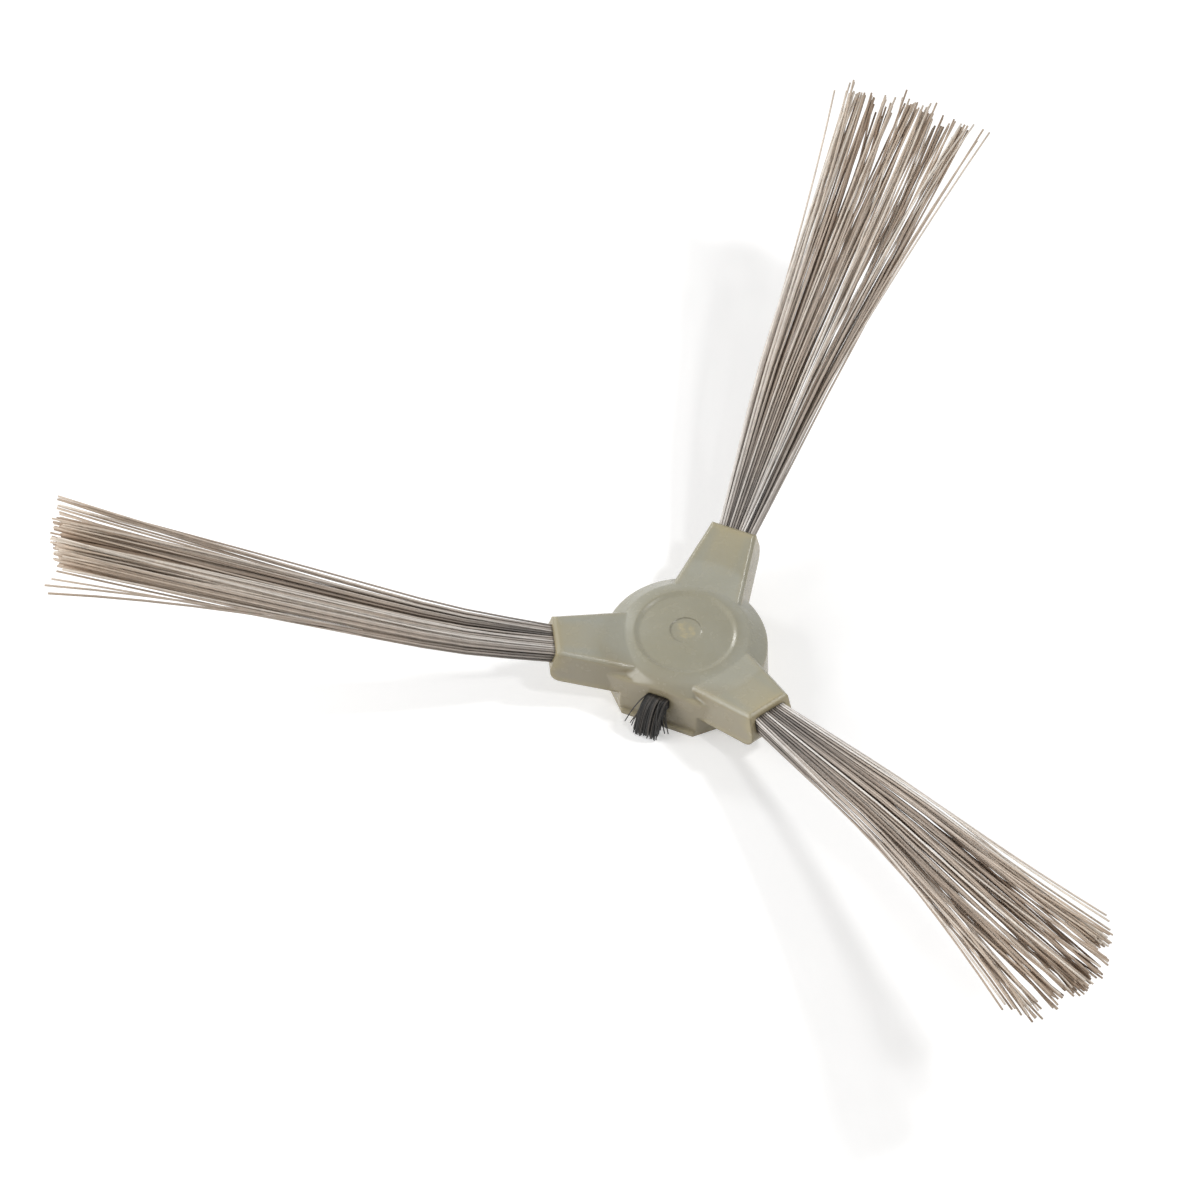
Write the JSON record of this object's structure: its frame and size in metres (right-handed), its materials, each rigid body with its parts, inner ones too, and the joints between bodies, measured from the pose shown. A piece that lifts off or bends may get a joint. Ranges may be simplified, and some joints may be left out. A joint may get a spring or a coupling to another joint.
{
  "type": "robot vacuum side brush",
  "caption": "Side brush with a domed moulded hub, arms that carry long fanned bristle tufts, and a short dark tuft; it pushes onto a drive shaft.",
  "frame": {"origin": "on the spin axis, in the plane of the mounting face", "axes": "+Z along the spin axis away from the robot, +Y along the rear arm, -Y towards the facet with the short tuft"},
  "size_m": [0.1601, 0.1479, 0.0392],
  "materials": {
    "hub": "moulded, olive grey, waxy satin",
    "anchors": "flat rolled wire, plain",
    "long_filaments": "drawn nylon, taupe, slightly translucent",
    "short_filaments": "drawn nylon, black"
  },
  "bodies": {
    "root": {"hub": "hub", "anchor_rear": "anchors", "anchor_left": "anchors", "anchor_right": "anchors", "anchor_short": "anchors", "tuft_rear": "long_filaments", "tuft_left": "long_filaments", "tuft_right": "long_filaments", "tuft_short": "short_filaments"}
  },
  "joints": []
}
